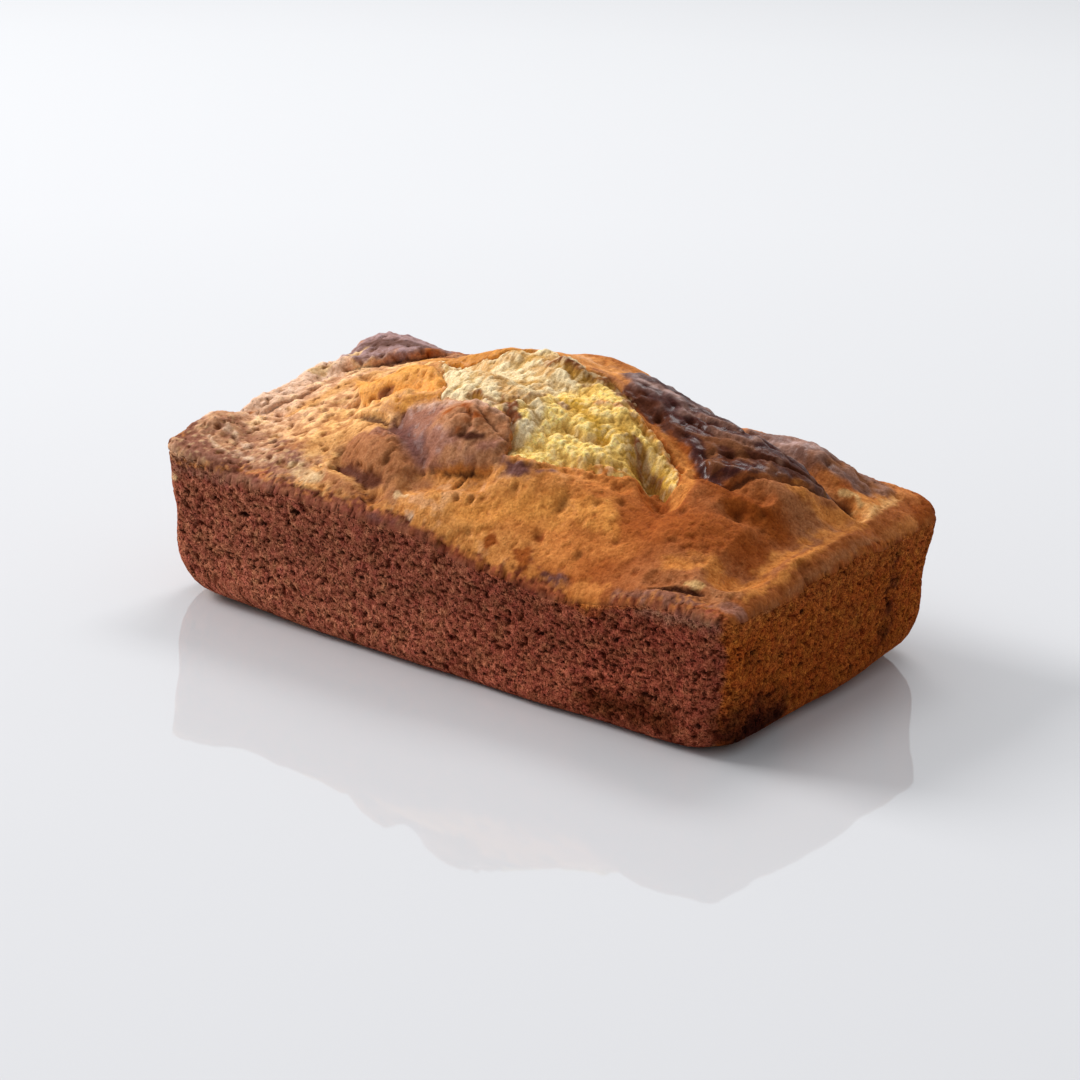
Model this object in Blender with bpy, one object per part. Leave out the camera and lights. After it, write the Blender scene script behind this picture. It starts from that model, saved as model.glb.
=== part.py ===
"""A marbled loaf cake, baked in a tin and turned out whole: one solid.

The loaf stands on z = 0 with the middle of its base at the origin, its length
along X, and Z up.  Its tin gave it straight, slightly tapered walls with round
corners.  Its top rose into a dome, tore open along a crack and set in folds.
The sizes below are in millimetres and the finished mesh is in metres.
"""
import math

import bmesh
import bpy
import numpy as np

MM = 0.001

# The tin: the size of the loaf at its rim, and how the walls run down to the base.
LENGTH = 230.0
WIDTH = 129.0
CORNER = 6.5
TAPER = 1.0
LIP = 0.5
LIP_DEPTH = 9.0
RIM_ROUND = 4.0
BASE_ROUND = 5.0
BASE_CORNER = 5.5
# The base edge is rounder at the right end and lifts at the corners: side of x, side of y, extra mm.
BASE_END = 3.0
BASE_LIFTS = ((-1, -1, 10.0), (1, -1, 1.0), (1, 1, 9.0), (-1, 1, 5.0))

# The crust's height along each side, as (place along the side, height).
FRONT_RIM = ((-115, 56.5), (-90, 51), (-40, 49.5), (0, 47.5), (22, 43.5), (56, 41), (82, 46), (115, 48))
BACK_RIM = ((-115, 64), (-88, 65), (-60, 62.5), (-30, 61.5), (0, 59), (30, 55), (90, 54.5), (115, 51))
LEFT_RIM = ((-64.5, 56.5), (-41, 57.5), (-10, 60), (20, 65), (64.5, 64))
RIGHT_RIM = ((-64.5, 48), (-40, 48.5), (-10, 52.5), (8, 53.5), (26, 51), (64.5, 51))

# The dome's crest: its height, and how far behind the middle line it runs.
CREST = ((-115, 65), (-90, 68), (-65, 73), (-40, 81), (-14, 87.5), (10, 87.5), (35, 81), (60, 74), (85, 68),
         (105, 57), (115, 50))
CREST_SHIFT = ((-115, 11), (-60, 2), (0, -6), (60, -3), (115, 0))
SLOPE_POWER = 2.15

# Folds that stand up from the dome: middle, half length, half width, turn in degrees, rise.
FOLDS = {
    "chocolate lobe, left part": ((-31, -46), 22, 11, -18, 3.6),
    "chocolate lobe, right part": ((-2, -39), 18, 13, -10, 5.0),
    "tongue above the lobe": ((-40, -27), 24, 6, 6, 3.0),
    "upper tongue": ((-52, -8), 32, 8, 8, 3.4),
    "crest crust": ((-34, 13), 34, 9, 2, 1.2),
    "torn crumb, front swell": ((34, -22), 22, 12, -6, 2.6),
    "glossy fold, upper part": ((40, 17), 30, 13, -4, 4.2),
    "glossy fold, lower part": ((76, 12), 30, 12, -4, 3.8),
    "lobe on the back rim": ((70, 46), 30, 13, -12, 3.5),
    "shoulder by the right end": ((86, -4), 16, 12, -30, 2.2),
    "corner peak": ((-98, 41), 26, 17, -14, 5.0),
    "left rim, middle lump": ((-107, 8), 12, 18, 0, 0.8),
    "left rim, front lump": ((-107, -46), 14, 14, 20, 2.6),
    "crust below the crack": ((36, -43), 34, 8, 3, 2.6),
    "right end, front lump": ((102, -50), 12, 12, 0, 1.5),
    "back crust, left": ((-45, 44), 36, 12, 6, 2.6),
    "back crust, right": ((4, 34), 24, 13, -8, 4.0),
}

# Cracks, valleys and troughs sunk into the dome: start, end, half width, depth.
FURROWS = {
    "crack, torn crumb in front": ((22, -22), (58, -20), 15, 5.0),
    "crack, torn crumb behind": ((-40, 2), (12, -8), 11, 4.5),
    "crevice at the crack's tip": ((50, -16), (67, -28), 6, 5.0),
    "edge of the crust below the crack": ((14, -36), (50, -30), 5, 2.0),
    "valley in the lobe": ((-34, -37), (-14, -48), 6, 3.6),
    "split under the lobe": ((-13, -54), (10, -48), 5, 3.4),
    "dark strip": ((-46, -51), (-24, -58), 5, 3.0),
    "gap under the upper tongue": ((-76, -17), (-32, -18), 5, 2.8),
    "gap under the crest crust": ((-80, 3), (-34, 3), 5, 2.8),
    "gap under the corner peak": ((-104, 8), (-66, 36), 7, 3.4),
    "left rim notch": ((-116, -28), (-94, -24), 7, 2.4),
    "trough inside the right end": ((101, -46), (103, 12), 8, 4.6),
    "gap below the back lobe": ((52, 34), (101, 27), 7, 6.0),
    "crevice in front of the glossy fold": ((36, 2), (66, -10), 5, 2.4),
    "crevice in the shoulder": ((70, -12), (89, -8), 5, 3.6),
    "pit in the shoulder": ((86, -20), (94, -17), 5, 2.6),
    "crevice in the front corner": ((84, -57), (102, -57), 5, 2.0),
    "back valley": ((-92, 52), (44, 54), 6, 2.4),
}

# Slow unevenness of the crust and of the walls: wave length and height.
CRUST_WAVE = 31.0
CRUST_UNEVEN = 0.9
WALL_WAVE = 47.0
WALL_UNEVEN = 0.5

# The mesh: cells along and across the crust, rings down the wall and round the base edge.
CELLS_LONG = 68
CELLS_WIDE = 38
EDGE_GATHER = 0.2
WALL_RINGS = 5
BASE_RINGS = 3


def along(stations, t):
    """Read a smooth curve through (place, value) stations at the places t."""
    place, value = np.array(stations, dtype=float).T
    slope = np.gradient(value, place)
    cell = np.clip(np.searchsorted(place, t) - 1, 0, len(place) - 2)
    step = place[cell + 1] - place[cell]
    s = np.clip((t - place[cell]) / step, 0, 1)
    ease = s * s * (3 - 2 * s)
    bend = s * (1 - s) * ((1 - s) * slope[cell] - s * slope[cell + 1]) * step
    return value[cell] * (1 - ease) + value[cell + 1] * ease + bend


def fold(x, y, middle, half_length, half_width, turn):
    """Give 1 at the middle of a turned oval and fall smoothly to 0 at its edge."""
    c, s = math.cos(math.radians(turn)), math.sin(math.radians(turn))
    p = ((x - middle[0]) * c + (y - middle[1]) * s) / half_length
    q = ((y - middle[1]) * c - (x - middle[0]) * s) / half_width
    return np.clip(1 - p * p - q * q, 0, None) ** 1.5


def furrow(x, y, start, end, half_width):
    """Give 1 on the line from start to end and fall smoothly to 0 beside it."""
    run = np.subtract(end, start).astype(float)
    t = np.clip(((x - start[0]) * run[0] + (y - start[1]) * run[1]) / run.dot(run), 0, 1)
    away = np.hypot(x - start[0] - t * run[0], y - start[1] - t * run[1]) / half_width
    return np.clip(1 - away * away, 0, None) ** 1.5


def waves(x, y, length):
    """Give a slow, irregular swell between about -1 and 1."""
    a = np.sin(2 * math.pi * (x + 0.4 * y) / length + 0.7)
    b = np.sin(2 * math.pi * (0.8 * y - 0.5 * x) / (0.73 * length) + 2.1)
    return 0.5 * (a + b)


def inside_edge(x, y):
    """Give the distance from the rim's rounded rectangle, measured inwards."""
    p = np.abs(x) - (LENGTH / 2 - CORNER)
    q = np.abs(y) - (WIDTH / 2 - CORNER)
    outside = np.hypot(np.clip(p, 0, None), np.clip(q, 0, None))
    return CORNER - outside - np.clip(np.maximum(p, q), None, 0)


def rim_surface(x, y):
    """Stretch a sheet between the four rim lines, with no dome on it."""
    u = (x / LENGTH) + 0.5
    v = (y / WIDTH) + 0.5
    front, back = along(FRONT_RIM, x), along(BACK_RIM, x)
    left, right = along(LEFT_RIM, y), along(RIGHT_RIM, y)
    corners = ((1 - u) * ((1 - v) * FRONT_RIM[0][1] + v * BACK_RIM[0][1])
               + u * ((1 - v) * FRONT_RIM[-1][1] + v * BACK_RIM[-1][1]))
    return (1 - v) * front + v * back + (1 - u) * left + u * right - corners


def dome(x, y):
    """Raise the sheet into the dome that the loaf baked."""
    shift = along(CREST_SHIFT, x)
    reach = np.where(y < shift, shift + WIDTH / 2, WIDTH / 2 - shift)
    down = np.abs(y - shift) / reach
    rise = along(CREST, x) - rim_surface(x, shift)
    return rim_surface(x, y) + rise * (1 - down ** SLOPE_POWER)


def crust(x, y):
    """Give the height of the crust over every point of the loaf."""
    z = dome(x, y)
    for middle, half_length, half_width, turn, rise in FOLDS.values():
        z = z + rise * fold(x, y, middle, half_length, half_width, turn)
    for start, end, half_width, depth in FURROWS.values():
        z = z - depth * furrow(x, y, start, end, half_width)
    z = z + CRUST_UNEVEN * waves(x, y, CRUST_WAVE)
    over = np.clip(1 - inside_edge(x, y) / RIM_ROUND, 0, 1)
    return z - 0.8 * RIM_ROUND * (1 - np.sqrt(1 - over * over))


def in_plan(u, v, inset, corner):
    """Place points of a square sheet in the loaf's rounded rectangle, drawn in by inset."""
    half_x, half_y = LENGTH / 2 - inset, WIDTH / 2 - inset
    p = np.clip((np.abs(u) * half_x - half_x + corner) / corner, 0, 1)
    q = np.clip((np.abs(v) * half_y - half_y + corner) / corner, 0, 1)
    x = np.where(p > 0, half_x - corner + corner * p * np.sqrt(1 - q * q / 2), np.abs(u) * half_x)
    y = np.where(q > 0, half_y - corner + corner * q * np.sqrt(1 - p * p / 2), np.abs(v) * half_y)
    return np.sign(u) * x, np.sign(v) * y


def base_edge(u, v):
    """Give the radius of the rounded edge between the wall and the base."""
    lift = sum(extra * ((1 + side_x * u) * (1 + side_y * v) / 4) ** 5 for side_x, side_y, extra in BASE_LIFTS)
    return BASE_ROUND + BASE_END * np.clip(u, 0, 1) ** 6 + lift


def wall(u, v, ring, rim):
    """Place the rings below the rim: down the tapered wall, then round the base's edge."""
    down = np.clip(ring / WALL_RINGS, 0, 1)
    turn = np.clip((ring - WALL_RINGS) / BASE_RINGS, 0, 1) * math.pi / 2
    base_round = base_edge(u, v)
    z = (1 - down) * rim + down * base_round * (1 - np.sin(turn))
    under_lip = np.clip((rim - z) / LIP_DEPTH, 0, 1)
    inset = TAPER * (1 - z / rim) + LIP * under_lip + base_round * (1 - np.cos(turn))
    corner = CORNER + BASE_CORNER * down
    x, y = in_plan(u, v, inset, corner)
    swell = WALL_UNEVEN * under_lip * waves(x + y, 2 * z, WALL_WAVE)
    return x - swell * u, y - swell * v, z


def sheet_with_walls():
    """Make a flat sheet of cells, pull its edge down in rings and close the base with one face."""
    mesh = bmesh.new()
    ring = mesh.verts.layers.float.new("ring")
    bmesh.ops.create_grid(mesh, x_segments=CELLS_LONG, y_segments=CELLS_WIDE, size=1.0)
    edge = [e for e in mesh.edges if e.is_boundary]
    for level in range(1, WALL_RINGS + BASE_RINGS + 1):
        pulled = bmesh.ops.extrude_edge_only(mesh, edges=edge)["geom"]
        for point in pulled:
            if isinstance(point, bmesh.types.BMVert):
                point[ring] = level
        edge = [e for e in pulled if isinstance(e, bmesh.types.BMEdge) and e.is_boundary]
    bmesh.ops.holes_fill(mesh, edges=edge, sides=0)
    return mesh, ring


def gather(u):
    """Draw the cells closer together towards the sheet's edges."""
    return u + EDGE_GATHER * np.sin(math.pi * u) / math.pi


def loaf_mesh():
    """Shape the sheet and its walls into the loaf."""
    mesh, ring_layer = sheet_with_walls()
    u, v = gather(np.array([point.co.xy for point in mesh.verts])).T
    ring = np.array([point[ring_layer] for point in mesh.verts])
    x, y = in_plan(u, v, 0.0, CORNER)
    z = crust(x, y)
    wall_x, wall_y, wall_z = wall(u, v, ring, z)
    below = ring > 0
    shape = np.where(below, (wall_x, wall_y, wall_z), (x, y, z)).T
    middle = (shape.max(axis=0) + shape.min(axis=0)) / 2
    shape -= (middle[0], middle[1], 0.0)
    for point, place in zip(mesh.verts, shape):
        point.co = place * MM
    bmesh.ops.recalc_face_normals(mesh, faces=mesh.faces)
    return mesh


def baked_crumb():
    """The loaf's own finish: matt brown chocolate crumb."""
    material = bpy.data.materials.new("baked_crumb")
    material.use_nodes = True
    shader = material.node_tree.nodes["Principled BSDF"]
    shader.inputs["Base Color"].default_value = (0.19, 0.075, 0.035, 1.0)
    shader.inputs["Roughness"].default_value = 0.7
    shader.inputs["Metallic"].default_value = 0.0
    return material


def marble_loaf():
    """Make the loaf as one object, smooth over its dome and folds."""
    mesh = bpy.data.meshes.new("marble_loaf")
    shaped = loaf_mesh()
    shaped.to_mesh(mesh)
    shaped.free()
    mesh.materials.append(baked_crumb())
    mesh.shade_smooth()
    loaf = bpy.data.objects.new("marble_loaf", mesh)
    bpy.context.scene.collection.objects.link(loaf)
    return loaf


for old in list(bpy.data.objects):
    bpy.data.objects.remove(old)
marble_loaf()
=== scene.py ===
# %% [markdown]
# # A marble loaf cake
# Two batters, butter and chocolate, were swirled in a loaf tin and baked.  The sides are
# fine sponge that took the tin's shape; the top is a crust that rose, folded and tore open,
# so that soft yellow crumb shows in the crack.  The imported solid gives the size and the
# place; this script gives the loaf its skin, its pores and its colours.

# %% Load the frame
import math

import bmesh
import bpy
import numpy as np
from mathutils import Matrix, Vector, noise


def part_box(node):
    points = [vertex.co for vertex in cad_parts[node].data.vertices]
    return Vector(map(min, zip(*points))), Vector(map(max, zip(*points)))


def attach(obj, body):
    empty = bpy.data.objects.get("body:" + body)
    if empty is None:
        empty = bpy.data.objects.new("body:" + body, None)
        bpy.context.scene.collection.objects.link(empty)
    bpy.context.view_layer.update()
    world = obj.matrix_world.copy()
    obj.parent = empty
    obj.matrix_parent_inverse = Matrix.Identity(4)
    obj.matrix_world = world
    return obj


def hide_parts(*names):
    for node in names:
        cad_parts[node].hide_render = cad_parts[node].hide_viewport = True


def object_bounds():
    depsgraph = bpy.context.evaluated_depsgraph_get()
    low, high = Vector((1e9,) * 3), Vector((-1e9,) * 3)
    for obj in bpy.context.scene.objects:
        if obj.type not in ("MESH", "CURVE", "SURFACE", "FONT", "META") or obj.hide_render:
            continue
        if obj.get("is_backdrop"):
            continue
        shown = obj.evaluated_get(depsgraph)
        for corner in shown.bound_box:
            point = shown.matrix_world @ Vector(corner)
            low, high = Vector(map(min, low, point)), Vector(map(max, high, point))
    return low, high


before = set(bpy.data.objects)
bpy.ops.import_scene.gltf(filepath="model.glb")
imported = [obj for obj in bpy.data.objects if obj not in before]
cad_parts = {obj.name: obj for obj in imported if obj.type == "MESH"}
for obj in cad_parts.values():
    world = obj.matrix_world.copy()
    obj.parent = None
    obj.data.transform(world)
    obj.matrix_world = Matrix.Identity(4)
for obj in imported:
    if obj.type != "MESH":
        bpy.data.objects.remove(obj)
cad_box = [list(corner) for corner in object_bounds()]
low, high = (np.array(corner) * 1000 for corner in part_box("marble_loaf"))
LENGTH, WIDTH, HEIGHT = high - low
print(f"the loaf is {LENGTH:.0f} x {WIDTH:.0f} x {HEIGHT:.0f} mm")

# %% [markdown]
# ## Camera
# An 85 mm lens stands a little under a metre away, 36 degrees round from the loaf's front
# and 19 degrees above it.  The camera leans by two degrees, as a hand-held one does.

# %% Camera
MM = 0.001
LENS_MM = 85
CAMERA_MM = (478.3, -655.4, 303.8)
TURN, LOOK_DOWN, LEAN = (math.radians(a) for a in (36.19, 18.74, 1.92))

camera = bpy.data.objects.new("camera", bpy.data.cameras.new("camera"))
camera.data.lens = LENS_MM
camera.data.sensor_width = 36
camera.data.clip_end = 50
camera.matrix_world = (Matrix.Translation(Vector(CAMERA_MM) * MM)
                       @ Matrix.Rotation(TURN, 4, "Z")
                       @ Matrix.Rotation(math.pi / 2 - LOOK_DOWN, 4, "X")
                       @ Matrix.Rotation(LEAN, 4, "Z"))
bpy.context.scene.collection.objects.link(camera)
bpy.context.scene.camera = camera
print("camera at", CAMERA_MM, "mm")

# %% [markdown]
# ## The loaf's big form
# The dome, its folds and its cracks are the same named sizes as in the solid, in
# millimetres, so the dressed loaf keeps the solid's outline.  Each is a smooth formula of
# the place (x, y), which numpy works out for every point of a mesh at once.

# %% Sizes of the tin and of the rim
CORNER = 6.5
TAPER = 1.0
LIP = 0.5
LIP_DEPTH = 9.0
RIM_ROUND = 4.0
BASE_ROUND = 5.0
BASE_CORNER = 5.5
# The base edge is rounder at the right end and lifts at the corners: side of x, side of y, extra mm.
BASE_END = 3.0
BASE_LIFTS = ((-1, -1, 10.0), (1, -1, 1.0), (1, 1, 9.0), (-1, 1, 5.0))
FRONT_RIM = ((-115, 56.5), (-90, 51), (-40, 49.5), (0, 47.5), (22, 43.5), (56, 41), (82, 46), (115, 48))
BACK_RIM = ((-115, 64), (-88, 65), (-60, 62.5), (-30, 61.5), (0, 59), (30, 55), (90, 54.5), (115, 51))
LEFT_RIM = ((-64.5, 56.5), (-41, 57.5), (-10, 60), (20, 65), (64.5, 64))
RIGHT_RIM = ((-64.5, 48), (-40, 48.5), (-10, 52.5), (8, 53.5), (26, 51), (64.5, 51))
CREST = ((-115, 65), (-90, 68), (-65, 73), (-40, 81), (-14, 87.5), (10, 87.5), (35, 81), (60, 74), (85, 68),
         (105, 57), (115, 50))
CREST_SHIFT = ((-115, 11), (-60, 2), (0, -6), (60, -3), (115, 0))
SLOPE_POWER = 2.15
CRUST_WAVE, CRUST_UNEVEN = 31.0, 0.9
WALL_WAVE, WALL_UNEVEN = 47.0, 0.5
# Folds that stand up from the dome: middle, half length, half width, turn in degrees, rise.
FOLDS = {
    "chocolate lobe, left part": ((-31, -46), 22, 11, -18, 3.6),
    "chocolate lobe, right part": ((-2, -39), 18, 13, -10, 5.0),
    "tongue above the lobe": ((-40, -27), 24, 6, 6, 3.0),
    "upper tongue": ((-52, -8), 32, 8, 8, 3.4),
    "crest crust": ((-34, 13), 34, 9, 2, 1.2),
    "torn crumb, front swell": ((34, -22), 22, 12, -6, 2.6),
    "glossy fold, upper part": ((40, 17), 30, 13, -4, 4.2),
    "glossy fold, lower part": ((76, 12), 30, 12, -4, 3.8),
    "lobe on the back rim": ((70, 46), 30, 13, -12, 3.5),
    "shoulder by the right end": ((86, -4), 16, 12, -30, 2.2),
    "corner peak": ((-98, 41), 26, 17, -14, 5.0),
    "left rim, middle lump": ((-107, 8), 12, 18, 0, 0.8),
    "left rim, front lump": ((-107, -46), 14, 14, 20, 2.6),
    "crust below the crack": ((36, -43), 34, 8, 3, 2.6),
    "right end, front lump": ((102, -50), 12, 12, 0, 1.5),
    "back crust, left": ((-45, 44), 36, 12, 6, 2.6),
    "back crust, right": ((4, 34), 24, 13, -8, 4.0),
}

# Cracks, valleys and troughs sunk into the dome: start, end, half width, depth.
FURROWS = {
    "crack, torn crumb in front": ((22, -22), (58, -20), 15, 5.0),
    "crack, torn crumb behind": ((-40, 2), (12, -8), 11, 4.5),
    "crevice at the crack's tip": ((50, -16), (67, -28), 6, 5.0),
    "edge of the crust below the crack": ((14, -36), (50, -30), 5, 2.0),
    "valley in the lobe": ((-34, -37), (-14, -48), 6, 3.6),
    "split under the lobe": ((-13, -54), (10, -48), 5, 3.4),
    "dark strip": ((-46, -51), (-24, -58), 5, 3.0),
    "gap under the upper tongue": ((-76, -17), (-32, -18), 5, 2.8),
    "gap under the crest crust": ((-80, 3), (-34, 3), 5, 2.8),
    "gap under the corner peak": ((-104, 8), (-66, 36), 7, 3.4),
    "left rim notch": ((-116, -28), (-94, -24), 7, 2.4),
    "trough inside the right end": ((101, -46), (103, 12), 8, 4.6),
    "gap below the back lobe": ((52, 34), (101, 27), 7, 6.0),
    "crevice in front of the glossy fold": ((36, 2), (66, -10), 5, 2.4),
    "crevice in the shoulder": ((70, -12), (89, -8), 5, 3.6),
    "pit in the shoulder": ((86, -20), (94, -17), 5, 2.6),
    "crevice in the front corner": ((84, -57), (102, -57), 5, 2.0),
    "back valley": ((-92, 52), (44, 54), 6, 2.4),
}

print(len(FOLDS), "folds,", len(FURROWS), "cracks and troughs")


# %% Formulas of the form
def along(stations, t):
    """Read a smooth curve through (place, value) stations at the places t."""
    place, value = np.array(stations, dtype=float).T
    slope = np.gradient(value, place)
    cell = np.clip(np.searchsorted(place, t) - 1, 0, len(place) - 2)
    step = place[cell + 1] - place[cell]
    s = np.clip((t - place[cell]) / step, 0, 1)
    ease = s * s * (3 - 2 * s)
    bend = s * (1 - s) * ((1 - s) * slope[cell] - s * slope[cell + 1]) * step
    return value[cell] * (1 - ease) + value[cell + 1] * ease + bend


def fold(x, y, middle, half_length, half_width, turn):
    """Give 1 at the middle of a turned oval and fall smoothly to 0 at its edge."""
    c, s = math.cos(math.radians(turn)), math.sin(math.radians(turn))
    p = ((x - middle[0]) * c + (y - middle[1]) * s) / half_length
    q = ((y - middle[1]) * c - (x - middle[0]) * s) / half_width
    return np.clip(1 - p * p - q * q, 0, None) ** 1.5


def furrow(x, y, start, end, half_width):
    """Give 1 on the line from start to end and fall smoothly to 0 beside it."""
    run = np.subtract(end, start).astype(float)
    t = np.clip(((x - start[0]) * run[0] + (y - start[1]) * run[1]) / run.dot(run), 0, 1)
    away = np.hypot(x - start[0] - t * run[0], y - start[1] - t * run[1]) / half_width
    return np.clip(1 - away * away, 0, None) ** 1.5


def waves(x, y, length):
    """Give a slow, irregular swell between about -1 and 1."""
    a = np.sin(2 * math.pi * (x + 0.4 * y) / length + 0.7)
    b = np.sin(2 * math.pi * (0.8 * y - 0.5 * x) / (0.73 * length) + 2.1)
    return 0.5 * (a + b)


def inside_edge(x, y):
    """Give the distance from the rim's rounded rectangle, measured inwards."""
    p = np.abs(x) - (LENGTH / 2 - CORNER)
    q = np.abs(y) - (WIDTH / 2 - CORNER)
    outside = np.hypot(np.clip(p, 0, None), np.clip(q, 0, None))
    return CORNER - outside - np.clip(np.maximum(p, q), None, 0)


def rim_surface(x, y):
    """Stretch a sheet between the four rim lines, with no dome on it."""
    u = (x / LENGTH) + 0.5
    v = (y / WIDTH) + 0.5
    front, back = along(FRONT_RIM, x), along(BACK_RIM, x)
    left, right = along(LEFT_RIM, y), along(RIGHT_RIM, y)
    corners = ((1 - u) * ((1 - v) * FRONT_RIM[0][1] + v * BACK_RIM[0][1])
               + u * ((1 - v) * FRONT_RIM[-1][1] + v * BACK_RIM[-1][1]))
    return (1 - v) * front + v * back + (1 - u) * left + u * right - corners


def dome(x, y):
    """Raise the sheet into the dome that the loaf baked."""
    shift = along(CREST_SHIFT, x)
    reach = np.where(y < shift, shift + WIDTH / 2, WIDTH / 2 - shift)
    down = np.abs(y - shift) / reach
    rise = along(CREST, x) - rim_surface(x, shift)
    return rim_surface(x, y) + rise * (1 - down ** SLOPE_POWER)


def crust(x, y):
    """Give the height of the crust over every point of the loaf."""
    z = dome(x, y)
    for middle, half_length, half_width, turn, rise in FOLDS.values():
        z = z + rise * fold(x, y, middle, half_length, half_width, turn)
    for start, end, half_width, depth in FURROWS.values():
        z = z - depth * furrow(x, y, start, end, half_width)
    z = z + CRUST_UNEVEN * waves(x, y, CRUST_WAVE)
    over = np.clip(1 - inside_edge(x, y) / RIM_ROUND, 0, 1)
    return z - 0.8 * RIM_ROUND * (1 - np.sqrt(1 - over * over))


print(f"crust over the middle: {crust(np.zeros(1), np.zeros(1))[0]:.1f} mm high")

# %% [markdown]
# ## Strokes
# Swirled batter is best drawn as a baker draws it: as strokes.  A stroke is a line of a few
# points with a half width at each.  `stroke` tells how far inside it a place lies, and
# `edge` turns that into a mask whose border is soft or crisp, and ragged by a noise.


# %% Strokes and noise
def stroke(places, points):
    """Give how many millimetres inside a stroke each place lies; negative outside it."""
    inside = np.full(len(places), -1e3)
    size = places.shape[1]
    rows = [np.array(p, dtype=float) for p in points]
    for a, b in zip(rows, rows[1:] or rows):
        run = b[:size] - a[:size]
        t = np.clip((places - a[:size]) @ run / max(run @ run, 1e-6), 0, 1)
        away = np.linalg.norm(places - a[:size] - t[:, None] * run, axis=1)
        inside = np.maximum(inside, a[size] + t * (b[size] - a[size]) - away)
    return inside


def edge(inside, softness):
    """Turn a depth in millimetres into a mask from 0 to 1, over a border of the given width."""
    s = np.clip(inside / softness + 0.5, 0, 1)
    return s * s * (3 - 2 * s)


def grain(places, size, octaves=2, offset=0.0):
    """Give a rough noise of about -1 to 1 whose lumps are size millimetres across."""
    shift = Vector((offset, offset * 1.7, -offset))
    scaled = (places / size).tolist()
    return np.array([noise.fractal(Vector(p) + shift, 1.0, 2.0, octaves) for p in scaled])


def colour(hex_code):
    """Turn an sRGB hex colour into the linear values that a shader mixes."""
    parts = [int(hex_code[i:i + 2], 16) / 255 for i in (1, 3, 5)]
    return [c / 12.92 if c <= 0.04045 else ((c + 0.055) / 1.055) ** 2.4 for c in parts]


print("chocolate sponge is", [round(c, 3) for c in colour("#6f3b2a")], "in linear light")

# %% [markdown]
# ## The skin
# The skin is one flat sheet of small cells, bent up into the dome, whose edge is pulled
# down the sides ring by ring.  It is cut at the rim into a lid and a case, each closed
# inside the loaf, so that both can have cells of half a millimetre and show every pore.

# %% Sheet, lid and case
CELL = 0.6
CELLS_LONG, CELLS_WIDE = round(LENGTH / CELL), round(WIDTH / CELL)
EDGE_GATHER = 0.12
WALL_STEPS, BASE_STEPS = round(43 / CELL), 8
LEDGE_Z, LEDGE_IN = 34.0, 9.0


def pull_rings(mesh, layer, edges, levels):
    """Pull a loop of edges out once for each level and note the level on the new points."""
    for level in levels:
        pulled = bmesh.ops.extrude_edge_only(mesh, edges=edges)["geom"]
        for point in pulled:
            if isinstance(point, bmesh.types.BMVert):
                point[layer] = level
        edges = [e for e in pulled if isinstance(e, bmesh.types.BMEdge) and e.is_boundary]
    return edges


def square_sheet(keep_cells):
    """Start from a flat sheet of cells, whole or as its bare outline."""
    mesh = bmesh.new()
    layer = mesh.verts.layers.float.new("ring")
    bmesh.ops.create_grid(mesh, x_segments=CELLS_LONG, y_segments=CELLS_WIDE, size=1.0)
    if not keep_cells:
        inner = [v for v in mesh.verts if not v.is_boundary]
        bmesh.ops.delete(mesh, geom=inner, context="VERTS")
        corners = [f for f in mesh.faces]
        bmesh.ops.delete(mesh, geom=corners, context="FACES_ONLY")
    return mesh, layer


def lid_sheet():
    """The crust: the whole sheet, closed underneath by a ledge inside the loaf."""
    mesh, layer = square_sheet(True)
    rim = [e for e in mesh.edges if e.is_boundary]
    last = pull_rings(mesh, layer, rim, (-1,))
    bmesh.ops.holes_fill(mesh, edges=last, sides=0)
    return mesh, layer


def case_sheet():
    """The sides and the base: the sheet's outline pulled down, closed at top and bottom."""
    mesh, layer = square_sheet(False)
    rim = list(mesh.edges)
    inner = pull_rings(mesh, layer, rim, (-1,))
    bmesh.ops.holes_fill(mesh, edges=inner, sides=0)
    rim = [e for e in mesh.edges if e.is_boundary]
    last = pull_rings(mesh, layer, rim, range(1, WALL_STEPS + BASE_STEPS + 1))
    bmesh.ops.holes_fill(mesh, edges=last, sides=0)
    return mesh, layer


lid, lid_ring = lid_sheet()
case, case_ring = case_sheet()
print(len(lid.faces), "faces in the lid,", len(case.faces), "in the case")


# %% Place every point of the skin
def in_plan(u, v, inset, corner):
    """Place points of a square sheet in the loaf's rounded rectangle, drawn in by inset."""
    half_x, half_y = LENGTH / 2 - inset, WIDTH / 2 - inset
    p = np.clip((np.abs(u) * half_x - half_x + corner) / corner, 0, 1)
    q = np.clip((np.abs(v) * half_y - half_y + corner) / corner, 0, 1)
    x = np.where(p > 0, half_x - corner + corner * p * np.sqrt(1 - q * q / 2), np.abs(u) * half_x)
    y = np.where(q > 0, half_y - corner + corner * q * np.sqrt(1 - p * p / 2), np.abs(v) * half_y)
    return np.sign(u) * x, np.sign(v) * y


def outward(x, y):
    """Give the level direction that points straight out of the nearest wall."""
    p = np.clip(np.abs(x) - (LENGTH / 2 - CORNER), 0.001, None) * np.sign(x)
    q = np.clip(np.abs(y) - (WIDTH / 2 - CORNER), 0.001, None) * np.sign(y)
    size = np.hypot(p, q)
    return p / size, q / size


def base_edge(u, v):
    """Give the radius of the rounded edge between the wall and the base."""
    lift = sum(extra * ((1 + side_x * u) * (1 + side_y * v) / 4) ** 5 for side_x, side_y, extra in BASE_LIFTS)
    return BASE_ROUND + BASE_END * np.clip(u, 0, 1) ** 6 + lift


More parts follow.
